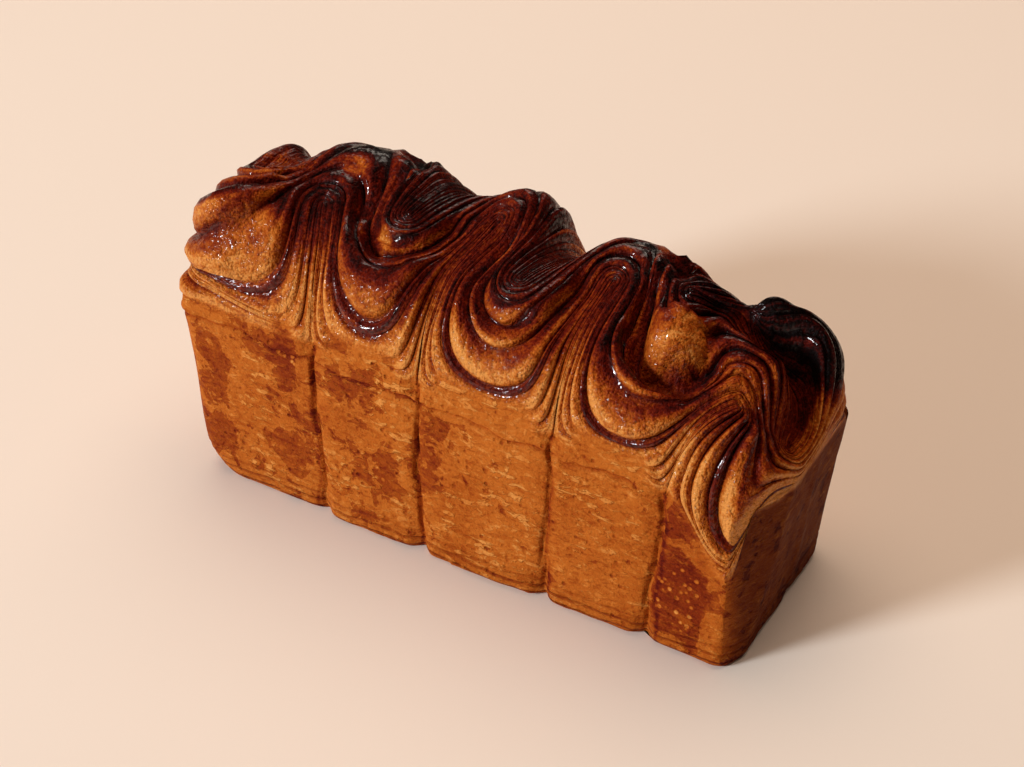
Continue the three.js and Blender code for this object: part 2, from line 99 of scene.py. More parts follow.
# Gaps that opened between layers, as (points, depth, width), faces that swelled, as (x, y, rise, width),
# and bands of layers that stand up behind gaps, as (points, rise, width). Gaps and bands fade to a share
# of their depth or rise at both ends.
GAPS = [
    ([(73, 2), (74, -14), (80, -27), (91, -32), (104, -28), (111, -18)], 15, 5.5),
    ([(117, 12), (125, 10.5), (132, 12.5), (138, 13.5), (144, 10), (147.5, 2.5), (148, -10)], 26, 8),
    ([(-79, 4), (-75, -7), (-75, -20)], 5, 6),
    ([(-77, 37), (-70, 35), (-63, 29), (-59, 21)], 9, 4.5),
    ([(64, 33), (71, 30), (77, 24), (80, 16)], 9, 4.5),
    ([(-65, -6), (-63, -20), (-54, -29), (-42, -30)], 5, 4.5),
]
SWELLS = [(93, -14, 9, 13), (-120, -44, 3, 20), (-138, 12, -3, 12)]
BANDS = [
    ([(-100, 46), (-86, 45), (-73, 41), (-60, 34)], 9, 6),
    ([(50, 45), (62, 43), (74, 39), (84, 32)], 6, 5.5),
]
GAP_END, GAP_STEEPNESS = 0.12, 3
BAND_END, BAND_STEEPNESS = 0.1, 4

# Flat tops of tongues, and how far the layers around them lie below: (points, radius, drop)
PLATEAUS = [([(23, 10), (20, -18)], 16, 6.5), ([(-44, 14), (-49, -5)], 14, 6)]
PLATEAU_OVER, PLATEAU_EDGE_OVER, PLATEAU_FOOT_OVER = (0, 0.6), (-1, 1.5), (18, 5)

# Layers through the ribbon from its front skin, each with its thickness and how deep the groove before
# it is; one thin glazed bead lies among them
LAYERS = [(1.0, 0.6), (0.8, 0.5), (0.95, 0.8), (0.36, 1.0), (1.3, 1.0), (1.0, 1.1), (1.1, 1.0), (0.95, 1.1),
          (0.9, 1.0), (0.8, 0.9), (0.75, 0.8), (0.7, 0.8), (0.6, 0.7)]
BEAD = 3
THICKNESSES = [thick for thick, _ in LAYERS]
LAYER_EDGES = np.concatenate([[0], np.cumsum(THICKNESSES)]) / sum(THICKNESSES)
GROOVES = np.array([groove for _, groove in LAYERS] + [1.0])
LAYER_REACH = 45.0
LEFT_OUTER, LEFT_OUTER_X = 0.16, (-98, -116)
SHARP_BEND, SOFT_BEND, LEFT_BEND, LEFT_BEND_X = 3.0, 1.6, 1.5, (-82, -100)

# How the layers' edges stand up as ridges, and how much each kind of place flattens or raises them
RIDGE_HEIGHT, RIDGE_STEEPNESS = 2.3, 0.23
RIDGE_MEAN, RIDGE_VARIETY, VARIETY_COLUMNS, LAYERS_APART = 0.85, 0.45, 24, 3.0
DRIFT, DRIFT_COLUMNS, DRIFT_BANDS = 0.016, 26, 7
RIM_FADE = 0.6
BACK_FLATTER, BACK_FLATTER_Y = 0.4, (22, 45)
SLIT_FLATTER, SLIT_WIDTH, SLIT_Y = 0.45, 14, (5, 25)
CALM_FLATTER = 0.85
LEFT_TALLER, LEFT_TALLER_X = 0.7, (-112, -132)
HOLES, HOLE_FLATTER, HOLE_WIDTH, BAND_WIDTH = [3, 4], 0.85, 12, 8
LUMP, LUMP_CELL, LUMP_FADE = 0.5, 13, 3

# Smooth faces where the layers' edges don't show: (x, y, z, radius)
SMOOTH_FACES = [(93, -14, 140, 15), (-113, -49, 133, 10), (-88, 8, 162, 8)]
FACE_FLATTER = 0.9

# Where the layers stand up as cords around the fold before the knot: (x, y, width)
CORDS, CORD_RISE = (91, 8, 15), 1.8

# Where the outer layers run together on the fronts of the folds: spacing from the creases, and layers
CALM_OVER, CALM_Y, CALM_RIGHT_X, CALM_LEFT_X = (5, 14), (-18, -30), (110, 100), (-108, -88)
CALM_LAYERS_OVER = (2.95, 2.6)

# Fineness: steps along the ribbon on the settling grid, how much finer the mesh is, and rows of a layer,
# as (share of its thickness, height) for thick, middling and thin layers
FOLD_STEPS, KNOT_STEPS, PANEL_STEPS, BACK_STEPS, LAST_STEPS, LEFT_STEPS, RIGHT_STEPS = 8, 4, 15, 12, 16, 28, 20
FINER = 4
CROWDING = 0.55
CURVE_STEPS, SLOPE_STEP = 40, 1.5
SETTLING_ROWS, SETTLING_FINER, SETTLING_SWEEPS = 12, 8, 70
SMOOTHING_SWEEPS, SMOOTHING_EDGE = 4, 0.15
COARSE_ROWS = 36
THICK_ROWS = [(0.0, -1.0), (0.06, -0.05), (0.17, 0.75), (0.36, 1.0), (0.6, 0.7), (0.84, 0.05)]
MIDDLING_ROWS = [(0.0, -1.0), (0.08, 0.2), (0.25, 0.95), (0.52, 0.85), (0.82, 0.1)]
THIN_ROWS = [(0.0, -1.0), (0.2, 0.8), (0.5, 1.0), (0.8, 0.3)]
LAYER_ROWS = [THICK_ROWS if thick > 0.85 else MIDDLING_ROWS if thick > 0.5 else THIN_ROWS for thick in THICKNESSES]
LAYER_START, LOW_ROWS = 0.3, 0.3
WALL_LEVELS = np.concatenate([[1, 0.97], np.linspace(0.95, 0.87, 8), np.linspace(0.83, 0.2, 7)[:-1],
                              np.linspace(0.2, 0, 13)])
SAME_SPOT = 1e-4

# Walls: creases that waver, panels that pillow beside them, and thin lips near the foot. Wavers are
# (reach, pitch), noises are (reach, cell, seed) and lips are (height, rise).
CREASE_WAVERS = [(1.2, 11), (0.8, 4.3)]
END_CREASES, END_WAVER, END_SOFTER, END_INSET = {"left": -14, "right": 8}, (2, 13), 1.5, (14, 6)
PILLOW, PILLOW_WIDTH = 1.4, 4.5
CUT, CUT_WIDTH, CUT_FOOT_LESS = 2.3, 1.2, 0.6
FOOT_NOTCH, FOOT_NOTCH_WIDTH, FOOT_FADE = 1.3, 5, 30
WALL_NOISES = [(0.8, 26, 1), (0.35, 9, 2)]
FOOT_LIPS = [(3.2, 1.0), (7.0, 0.9), (11.5, 0.7), (16.5, 0.35)]
LIP_NOISES, LIP_WIDTH, LIP_BREAK, LIP_BREAK_WIDTH = [(1.6, 17, 3), (0.7, 6, 4)], 1.3, 0.8, 6
WALL_START = 7

# The ragged edge that the glazed crust makes a little below the rim, and the nick under it, as (height, width)
FRILL_DROP, FRILL_RISE, FRILL_X = 7.0, 1.0, (112, 100)
FRILL_NOISES = [(2.2, 15, 5), (1.1, 5, 6)]
FRILL_EDGE, FRILL_NICK, NICK_DEPTH = (1.5, 1.6), (-1, 1.1), 1.3


def ease(a, b, x):
    t = np.clip((x - a) / (b - a), 0, 1)
    return t * t * (3 - 2 * t)


def mix(a, b, t):
    return a + (b - a) * t


def bell(d, w, power=2):
    return np.exp(-(d / w) ** power)


def arch(share, end):
    """Rise and fall along a line, from the same small share at both ends."""
    return np.sin(math.pi * (end + (1 - 2 * end) * share))


def along(run, x):
    value = np.full(np.shape(x), float(run[0][1]))
    for (a, za), (b, zb) in zip(run[:-1], run[1:]):
        value = value + (zb - za) * ease(a, b, x)
    return value


def nearest(line, x, y):
    """Distance to a line of points, and the share of its length at the nearest spot."""
    line = np.array(line, float)
    lengths = np.hypot(*np.diff(line, axis=0).T)
    best, share = np.full(x.shape, np.inf), np.zeros(x.shape)
    passed = 0.0
    for a, b, length in zip(line[:-1], line[1:], lengths):
        dx, dy = b - a
        t = np.clip(((x - a[0]) * dx + (y - a[1]) * dy) / length ** 2, 0, 1)
        d = np.hypot(x - a[0] - t * dx, y - a[1] - t * dy)
        closer = d < best
        best = np.where(closer, d, best)
        share = np.where(closer, (passed + t * length) / lengths.sum(), share)
        passed += length
    return best, share


def catmull_rom(p0, p1, p2, p3, t):
    return 0.5 * (2 * p1 + (p2 - p0) * t + (2 * p0 - 5 * p1 + 4 * p2 - p3) * t ** 2
                  + (3 * p1 - p0 - 3 * p2 + p3) * t ** 3)


def lattice_noise(points, cell, seed):
    """Smooth noise from -1 to 1 at points of any shape (..., 3)."""
    size = 32
    table = np.random.default_rng(seed).uniform(-1, 1, (size, size, size))
    p = np.asarray(points, float) / cell
    base = np.floor(p).astype(int)
    f = p - base
    f = f * f * (3 - 2 * f)
    total = 0.0
    for corner in np.ndindex(2, 2, 2):
        weight = 1.0
        for axis in range(3):
            weight = weight * (f[..., axis] if corner[axis] else 1 - f[..., axis])
        total = total + weight * table[tuple((base[..., axis] + corner[axis]) % size for axis in range(3))]
    return total


def noises(p, sizes):
    return sum(reach * lattice_noise(p, cell, seed) for reach, cell, seed in sizes)


def side_reach(x, front):
    reach_front = HALF_WIDTH - sum(CREASE_DEPTH * bell(x - c, CREASE_WIDTH) for c in FRONT_CREASES)
    reach_back = HALF_WIDTH - sum(CREASE_DEPTH * bell(x - c, CREASE_WIDTH) for c in BACK_CREASES)
    return np.where(front, reach_front, reach_back)


def inset(x, y):
    """Distance in from the rim."""
    qx = np.abs(x) - STRAIGHT_X
    qy = np.abs(y) - (side_reach(x, y < 0) - CORNER)
    return CORNER - np.hypot(np.maximum(qx, 0), np.maximum(qy, 0)) - np.minimum(np.maximum(qx, qy), 0)


def shoulder(x, y):
    height = mix(along(SHOULDER_FRONT, x), along(SHOULDER_BACK, x), np.clip(y / RIM_WIDTH + 0.5, 0, 1))
    return mix(height, SHOULDER_RIGHT, ease(*SHOULDER_RIGHT_X, x) * ease(*SHOULDER_RIGHT_Y, y))


def plain_crown(x, y):
    return mix(along(CROWN_FRONT, x), along(CROWN_BACK, x), ease(*CROWN_Y, y))


def dome_reach(x, y):
    """How far in from the rim the dome reaches its crown: less at the left end and the right end's back."""
    reach = mix(DOME_REACH, LEFT_REACH, ease(*LEFT_REACH_X, x))
    return mix(reach, RIGHT_REACH, ease(*RIGHT_REACH_X, x) * ease(*RIGHT_REACH_Y, y))


def dome_share(x, y):
    lean = 1 - np.clip(inset(x, y) / dome_reach(x, y), 0, 1)
    return np.sqrt(1 - lean * lean)


def plain_dome(x, y):
    return mix(shoulder(x, y), plain_crown(x, y), dome_share(x, y))


def fold_relief(x, y):
    """Height added by the valleys, gaps and swells, and by the fall of the right half's back."""
    relief = -BACK_FALL * np.maximum(y - BACK_FALL_FROM, 0) * ease(*BACK_FALL_X, x)
    relief *= 1 - END_FALL_LESS * ease(*END_FALL_LESS_X, x)
    for line, depth, width in FRONT_FOLDS + BACK_FOLDS:
        d, share = nearest(line, x, y)
        relief -= depth * (1 - VALLEY_FADE * share) ** VALLEY_CURVE * bell(d, width)
    for line, depth, width in GAPS:
        d, share = nearest(line, x, y)
        relief -= depth * arch(share, GAP_END) * bell(d, width, GAP_STEEPNESS)
    for cx, cy, rise, width in SWELLS:
        relief += rise * np.sqrt(np.clip(1 - (np.hypot(x - cx, y - cy) / width) ** 2, 0, 1))
    for line, rise, width in BANDS:
        d, share = nearest(line, x, y)
        relief += rise * arch(share, BAND_END) * bell(d, width, BAND_STEEPNESS)
    for line, radius, drop in PLATEAUS:
        d, share = nearest(line, x, y)
        around = ease(*PLATEAU_EDGE_OVER, d - radius) * ease(*PLATEAU_FOOT_OVER, d - radius)
        relief -= drop * ease(*PLATEAU_OVER, share) * around
    return relief * dome_share(x, y)


def dome_normal(x, y):
    sx = (plain_dome(x + SLOPE_STEP, y) - plain_dome(x - SLOPE_STEP, y)) / (2 * SLOPE_STEP)
    sy = (plain_dome(x, y + SLOPE_STEP) - plain_dome(x, y - SLOPE_STEP)) / (2 * SLOPE_STEP)
    n = np.stack([-sx, -sy, np.ones_like(sx)], -1)
    return n / np.linalg.norm(n, axis=-1, keepdims=True)


# The rim's outline, once around from the left end of the straight front
QUARTER_RUN = math.pi / 2 * CORNER
RIM_RUN = 4 * STRAIGHT_X + 4 * STRAIGHT_Y + 4 * QUARTER_RUN


def rim_plan(run):
    run = np.asarray(run, float) % RIM_RUN
    x, y = np.zeros(run.shape), np.zeros(run.shape)
    start = 0.0
    sides = [((-STRAIGHT_X, -HALF_WIDTH), (1, 0), 2 * STRAIGHT_X, (STRAIGHT_X, -STRAIGHT_Y)),
             ((HALF_LENGTH, -STRAIGHT_Y), (0, 1), 2 * STRAIGHT_Y, (STRAIGHT_X, STRAIGHT_Y)),
             ((STRAIGHT_X, HALF_WIDTH), (-1, 0), 2 * STRAIGHT_X, (-STRAIGHT_X, STRAIGHT_Y)),
             ((-HALF_LENGTH, STRAIGHT_Y), (0, -1), 2 * STRAIGHT_Y, (-STRAIGHT_X, -STRAIGHT_Y))]
    for k, (begin, way, span, corner) in enumerate(sides):
        on = (run >= start) & (run <= start + span)
        x = np.where(on, begin[0] + way[0] * (run - start), x)
        y = np.where(on, begin[1] + way[1] * (run - start), y)
        start += span
        turn = (run > start) & (run < start + QUARTER_RUN)
        angle = (run - start) / CORNER + (k - 1) * math.pi / 2
        x = np.where(turn, corner[0] + CORNER * np.cos(angle), x)
        y = np.where(turn, corner[1] + CORNER * np.sin(angle), y)
        start += QUARTER_RUN
    return np.stack([x, y * side_reach(x, y < 0) / HALF_WIDTH], -1)


def front_run(x):
    return x + STRAIGHT_X


def right_run(y):
    return 2 * STRAIGHT_X + QUARTER_RUN + y + STRAIGHT_Y


def back_run(x):
    return 3 * STRAIGHT_X + 2 * STRAIGHT_Y + 2 * QUARTER_RUN - x


def rim_points(a, b, steps):
    """Points along the rim, closer together at both ends."""
    t = np.linspace(0, 1, steps + 1)
    return rim_plan(a + (b - a) * (t - CROWDING * np.sin(2 * math.pi * t) / (2 * math.pi)))


def even_points(line, steps):
    """Even points on a smooth curve through a line's points."""
    padded = np.vstack([2 * line[0] - line[1], line, 2 * line[-1] - line[-2]])
    t = np.linspace(0, 1, CURVE_STEPS, endpoint=False)[:, None]
    fine = np.vstack([catmull_rom(*padded[k:k + 4], t) for k in range(len(line) - 1)] + [line[-1:]])
    run = np.concatenate([[0], np.cumsum(np.hypot(*np.diff(fine, axis=0).T))])
    at = np.linspace(0, run[-1], steps + 1)
    return np.stack([np.interp(at, run, fine[:, 0]), np.interp(at, run, fine[:, 1])], -1)


def fold_points(fold, steps, knot_steps=0):
    """Even points from the side to the eye of a fold, with some before its knot."""
    line = np.array(fold[0], float)
    line[0] = rim_plan(front_run(line[0][0]) if line[0][1] < 0 else back_run(line[0][0]))
    if knot_steps:
        return np.vstack([even_points(line[:2], knot_steps)[:-1], even_points(line[1:], steps)])
    return even_points(line, steps)


def ribbon_skins(scale):
    """Paired plan points on the ribbon's two skins from the left end to the right, which columns lie on
    the rim as (skin, first, last), and where the lobe at the right end begins."""
    fold, knot, panel, back_panel, last_steps, left, right = (
        n * scale for n in (FOLD_STEPS, KNOT_STEPS, PANEL_STEPS, BACK_STEPS, LAST_STEPS, LEFT_STEPS, RIGHT_STEPS))
    fronts, backs, rims = [], [], []
    count = 0

    def lay(front, back, rim=None):
        nonlocal count
        skip = 1 if fronts else 0
        first = count - 1 if fronts else 0
        fronts.append(front[skip:])
        backs.append(back[skip:])
        count += len(front) - skip
        if rim:
            rims.append((rim, first, count - 1))

    def stay(point, run):
        return np.repeat(point[None], len(run), 0)

    f = [fold_points(line, fold) for line in FRONT_FOLDS]
    b = [fold_points(line, fold) for line in BACK_FOLDS[:3]]
    b += [fold_points(BACK_FOLDS[3], fold, knot), fold_points(BACK_FOLDS[4], last_steps, knot)]
    lay(rim_points(back_run(BACK_CREASES[0]), RIM_RUN + front_run(FRONT_CREASES[0]), left),
        b[0][np.minimum(np.arange(left + 1), fold)], "front")
    lay(f[0], stay(b[0][-1], f[0]))
    for k in range(4):
        out_of, into = b[k][::-1], b[k + 1]
        if k == 3:
            out_of, into = b[3][knot:][::-1], b[4][knot:]
        lay(stay(f[k][-1], out_of), out_of)
        if k < 3:
            side = rim_points(back_run(BACK_CREASES[k]), back_run(BACK_CREASES[k + 1]), back_panel)
            lay(stay(f[k][-1], side), side, "back")
        lay(stay(f[k][-1], into), into)
        lay(f[k][::-1], stay(into[-1], f[k]))
        if k < 3:
            side = rim_points(front_run(FRONT_CREASES[k]), front_run(FRONT_CREASES[k + 1]), panel)
            lay(side, stay(into[-1], side), "front")
            lay(f[k + 1], stay(into[-1], f[k + 1]))
    eye = b[4][-1]
    side = rim_points(front_run(FRONT_CREASES[-1]), right_run(eye[1]), right)
    lay(side, stay(eye, side), "front")
    end_lobe = count
    lay(rim_points(right_run(eye[1]), back_run(BACK_CREASES[-1]), last_steps), b[4][knot:][::-1], "front")
    lay(b[4][:knot + 1], stay(b[4][knot], b[4][:knot + 1]))
    return np.vstack(fronts), np.vstack(backs), rims, end_lobe


def surface_run(inwards, x, y):
    """Length over the dome from the rim to a spot that far inwards in plan."""
    reach = dome_reach(x, y)
    rise = plain_crown(x, y) - shoulder(x, y)
    turned = np.arccos(1 - np.clip(inwards / reach, 0, 1))
    return np.sqrt((reach ** 2 + rise ** 2) / 2) * turned + np.maximum(inwards - reach, 0)


def tongue_distance(tongue, slit, x, y):
    """Distance to a skin with a thick tongue beside it: the layers crowd at its slit and run around it."""
    line, radius, lead = tongue
    outside = nearest(line, x, y)[0] - radius
    across = slit + np.maximum(-outside, 0) + 1e-6
    crowded = (1 - np.exp(-slit / TONGUE_TIP)) / (1 - np.exp(-across / TONGUE_TIP))
    return np.minimum(slit, lead * mix(crowded, slit / across, TONGUE_SPREAD) + np.maximum(outside, 0))


def skin_distance(folds, rim_lines, x, y, tongues={}, bend=SHARP_BEND):
    """Distance to one skin of the ribbon, blended where two parts of it are near, and levelling off."""
    parts = [nearest(fold[0], x, y)[0] for fold in folds]
    parts = [tongue_distance(tongues[k], part, x, y) if k in tongues else part for k, part in enumerate(parts)]
    parts += [surface_run(nearest(line, x, y)[0], x, y) for line in rim_lines]
    near = sum(np.maximum(part, 1e-3) ** -bend for part in parts) ** (-1 / bend)
    return LAYER_REACH * (1 - np.exp(-near / LAYER_REACH))


def layer_share(x, y, end_lobe):
    """Place of a spot through the ribbon, from its front skin (0) to its back skin (1)."""
    lx, ly = HALF_LENGTH, HALF_WIDTH
    first, last = (BACK_CREASES[0], ly), (BACK_CREASES[-1], ly)
    front_rim = [[first, (-lx, ly), (-lx, -ly), (lx, -ly), (lx, ly), last]]
    bend = mix(SOFT_BEND, LEFT_BEND, ease(*LEFT_BEND_X, x))
    front = skin_distance(FRONT_FOLDS, front_rim, x, y, bend=bend)
    back = skin_distance(BACK_FOLDS, [[first, last]], x, y, TONGUES)
    share = front / (front + back)
    share *= 1 + LEFT_OUTER * ease(*LEFT_OUTER_X, x) * (1 - share)
    slit, gap = [([KNOT_START, KNOT],)], [(BACK_FOLDS[4][0][1:],)]
    front = skin_distance(slit, front_rim, x[end_lobe:], y[end_lobe:])
    back = skin_distance(gap, [], x[end_lobe:], y[end_lobe:])
    share[end_lobe:] = front / (front + back)
    return share


def resample(values, at):
    """Smooth interpolation along axis 0 at positions counted in steps."""
    n = len(values)
    i = np.clip(np.floor(at).astype(int), 0, n - 2)
    t = (at - i).reshape((-1,) + (1,) * (values.ndim - 1))
    return catmull_rom(*(values[np.clip(i + k, 0, n - 1)] for k in (-1, 0, 1, 2)), t)


def resample_rows(grid, at):
    """Smooth interpolation along axis 1 at positions counted in steps, different in each column."""
    n = grid.shape[1]
    j = np.clip(np.floor(at).astype(int), 0, n - 2)
    i = np.arange(len(grid))[:, None]
    return catmull_rom(*(grid[i, np.clip(j + k, 0, n - 1)] for k in (-1, 0, 1, 2)), (at - j)[..., None])


def settled_ribbon():
    """Columns of points on the plain dome, with rows that wind around the folds as the layers do."""
    front, back, _, end_lobe = ribbon_skins(1)
    t = np.linspace(0, 1, SETTLING_ROWS + 1)[None, :, None]
    plan = front[:, None] * (1 - t) + back[:, None] * t
    for _ in range(SETTLING_SWEEPS):
        plan[1:-1, 1:-1] = (plan[:-2, 1:-1] + plan[2:, 1:-1] + plan[1:-1, :-2] + plan[1:-1, 2:]) / 4
    finer = np.linspace(0, SETTLING_ROWS, SETTLING_FINER * SETTLING_ROWS + 1)
    fine = np.swapaxes(resample(np.swapaxes(plan, 0, 1), finer), 0, 1)
    through = layer_share(fine[..., 0], fine[..., 1], end_lobe)
    through[:, 0], through[:, -1] = 0, 1
    through = np.maximum.accumulate(through, 1)
    share = np.linspace(0, 1, COARSE_ROWS + 1)
    points = np.zeros((len(plan), len(share), 3))
    for i, column in enumerate(fine):
        for axis in range(2):
            points[i, :, axis] = np.interp(share, through[i], column[:, axis])
    points[..., 2] = plain_dome(points[..., 0], points[..., 1])
    ease_in = np.clip(np.minimum(share, 1 - share) / SMOOTHING_EDGE, 0, 1)[None, :, None] / 2
    for _ in range(SMOOTHING_SWEEPS):
        between = (points[:-2] + points[2:]) / 2
        points[1:-1] += (between - points[1:-1]) * ease_in
    return points


def calm(x, y, through):
    """How far the outer layers run together on the fronts of the folds, away from the creases."""
    spacing = np.min([np.abs(x - c) for c in FRONT_CREASES], axis=0)
    apart = ease(*CALM_OVER, spacing) * ease(*CALM_Y, y) * ease(*CALM_RIGHT_X, x) * ease(*CALM_LEFT_X, x)
    return apart * ease(*CALM_LAYERS_OVER, through)


def flattened(top, through):
    """Share of the ridges' height that each spot of the top keeps."""
    x, y = top[..., 0], top[..., 1]
    keep = np.clip(inset(x, y) / RIM_FADE, 0, 1) * (1 - BACK_FLATTER * ease(*BACK_FLATTER_Y, y))
    slits = np.min([nearest(line, x, y)[0] for line, _, _ in BACK_FOLDS[:3]], axis=0)
    keep *= 1 - SLIT_FLATTER * bell(slits, SLIT_WIDTH) * ease(*SLIT_Y, y)
    keep *= (1 - CALM_FLATTER * calm(x, y, through)) * (1 + LEFT_TALLER * ease(*LEFT_TALLER_X, x))
    for *middle, radius in SMOOTH_FACES:
        keep *= 1 - FACE_FLATTER * bell(np.linalg.norm(top - middle, axis=-1), radius, 4)
    for line, width in [(GAPS[hole][0], HOLE_WIDTH) for hole in HOLES] + [(band[0], BAND_WIDTH) for band in BANDS]:
        keep *= 1 - HOLE_FLATTER * bell(nearest(line, x, y)[0], width)
    cord_x, cord_y, cord_width = CORDS
    keep *= 1 + CORD_RISE * bell(np.hypot(x - cord_x, y - cord_y), cord_width)
    keep[:, 0] = keep[:, -1] = 0
    return keep


def loaf_surface():
    """The top as columns and rows of points, the rim's points in order around it, and each point's layer,
    column and layer's width."""
    coarse = settled_ribbon()
    front, back, rims, _ = ribbon_skins(FINER)
    columns = len(front)
    ribbon = resample(coarse, np.arange(columns) / FINER)
    layer = np.array([k for k, layer_rows in enumerate(LAYER_ROWS) for _ in layer_rows] + [len(LAYERS) - 1])
    within, profile = np.array(sum(LAYER_ROWS, []) + [(1.0, -1.0)]).T
    row_share = LAYER_EDGES[layer] + within * np.diff(LAYER_EDGES)[layer]
    rows = len(row_share)
    stations = np.broadcast_to(np.arange(columns)[:, None], (columns, rows))

    def row_noise(column_step, row_places, seed):
        places = [stations / column_step, np.broadcast_to(row_places, (columns, rows)), np.zeros((columns, rows))]
        return lattice_noise(np.stack(places, -1), 1, seed)

    drift = DRIFT * row_noise(DRIFT_COLUMNS, row_share * DRIFT_BANDS, 21) * np.sin(math.pi * row_share)
    top = resample_rows(ribbon, (row_share + drift) * (coarse.shape[1] - 1))
    for row, skin in ((0, front), (rows - 1, back)):
        top[:, row, :2] = skin
        top[:, row, 2] = plain_dome(skin[:, 0], skin[:, 1])
    x, y = top[..., 0], top[..., 1]

    run = np.concatenate([np.zeros((columns, 1)), np.cumsum(np.linalg.norm(np.diff(top, axis=1), axis=-1), 1)], 1)
    begins = np.flatnonzero((within == 0) | (within == 1))
    widths = np.diff(run[:, begins], axis=1)
    width = widths[:, layer]
    width = np.where(within < LAYER_START, (width + widths[:, np.maximum(layer - 1, 0)]) / 2, width)
    vary = RIDGE_MEAN + RIDGE_VARIETY * row_noise(VARIETY_COLUMNS, layer * LAYERS_APART, 22)
    groove = GROOVES[layer] * (1 - within) + GROOVES[layer + 1] * within
    height = np.minimum(RIDGE_HEIGHT, RIDGE_STEEPNESS * width) * groove * np.where(profile < LOW_ROWS, 1, vary)
    height *= flattened(top, layer + within)
    lump = LUMP * lattice_noise(top, LUMP_CELL, 23) * np.clip(inset(x, y) / LUMP_FADE, 0, 1)
    normal = dome_normal(x, y)
    top[..., 2] += fold_relief(x, y)
    top += normal * (height * profile + lump)[..., None]
    strand = np.stack([np.broadcast_to(layer + within, (columns, rows)), stations, width], -1)

    chain = []
    for side, a, c in rims:
        if side == "front":
            chain += [i * rows for i in range(a, c + 1)]
    for side, a, c in rims[::-1]:
        if side == "back":
            chain += [i * rows + rows - 1 for i in range(c, a - 1, -1)]
    return top, chain, strand


def crease_spacing(p):
    """Distance to the nearest crease of the front or the back, which waver as they rise."""
    x, y, z = p[..., 0], p[..., 1], p[..., 2]

    def spacing(creases):
        spots = [c + sum(reach * np.sin(z / pitch + k * c) for k, (reach, pitch) in enumerate(CREASE_WAVERS, 1))
                 for c in creases]
        return np.min([np.abs(x - spot) for spot in spots], axis=0)

    return np.where(y < 0, spacing(FRONT_CREASES), spacing(BACK_CREASES))


def frill(p):
    """Height above the ragged edge that the glazed crust makes a little below the rim."""
    return p[..., 2] - shoulder(p[..., 0], p[..., 1]) + FRILL_DROP + noises(p * [1, 1, 0], FRILL_NOISES)


def wall_relief(p):
    """How far the walls stand out: sharp creases, pillowed panels and thin lips near the foot."""
    x, y, z = p[..., 0], p[..., 1], p[..., 2]
    on_end = ease(*(HALF_LENGTH - inwards for inwards in END_INSET), np.abs(x))
    end_crease = np.where(x < 0, END_CREASES["left"], END_CREASES["right"]) + END_WAVER[0] * np.sin(z / END_WAVER[1])
    spacing = mix(crease_spacing(p), np.abs(y - end_crease) + END_SOFTER, on_end)
    low = np.clip(1 - z / FOOT_FADE, 0, 1) ** 2
    relief = PILLOW * bell(spacing, PILLOW_WIDTH) * (1 - low)
    relief -= CUT * bell(spacing, CUT_WIDTH) * (1 - CUT_FOOT_LESS * low)
    relief -= FOOT_NOTCH * low * bell(spacing, FOOT_NOTCH_WIDTH)
    relief += noises(p, WALL_NOISES)
    waver = z + noises(p * [1, 1, 0], LIP_NOISES)
    for height, rise in FOOT_LIPS:
        relief += rise * bell(waver - height, LIP_WIDTH) * (1 - LIP_BREAK * bell(spacing, LIP_BREAK_WIDTH))
    over = frill(p)
    edge, nick = (bell(over - height, width) for height, width in (FRILL_EDGE, FRILL_NICK))
    return relief + FRILL_RISE * (edge - NICK_DEPTH * nick) * ease(*FRILL_X, x)


def draw_in(p):
    """Lean the walls in towards the foot, round the foot's left corners and sharpen the front right edge."""
    below = np.maximum(1 - p[:, 2] / RIM_HEIGHT, 0)
    foot = 1 - np.clip(p[:, 2] / FOOT_RISE, 0, 1)
    round_in = FOOT_ROUND * (1 - np.sqrt(1 - foot ** 2))
    ends = np.where(p[:, 0] < 0, DRAW_IN["left"], DRAW_IN["right"]) * below + round_in
    sides = np.where(p[:, 1] < 0, along(DRAW_IN_FRONT, p[:, 0]), DRAW_IN["back"]) * below + round_in
    out = p.copy()
    corner = np.maximum(np.abs(p[:, :2]) - [HALF_LENGTH - FOOT_CORNER, HALF_WIDTH - FOOT_CORNER], 0)
    beyond = np.linalg.norm(corner, axis=1)
    keep_in = np.minimum(FOOT_CORNER / np.maximum(beyond, FOOT_CORNER), 1) - 1
    low = np.clip(1 - p[:, 2] / FOOT_CORNER_RISE, 0, 1) ** 2 * (p[:, 0] < 0)
    out[:, :2] += np.sign(p[:, :2]) * corner * (keep_in * low)[:, None]
    out[:, 0] *= 1 - ends / HALF_LENGTH
    out[:, 1] *= 1 - sides / HALF_WIDTH
    edge = EDGE_FOOT - EDGE_LEAN * out[:, 2] + EDGE_SLANT * (out[:, 1] + HALF_WIDTH)
    out[:, 0] -= EDGE_PRESS * np.maximum(out[:, 0] - edge, 0) * ease(*EDGE_Z, out[:, 2])
    return out


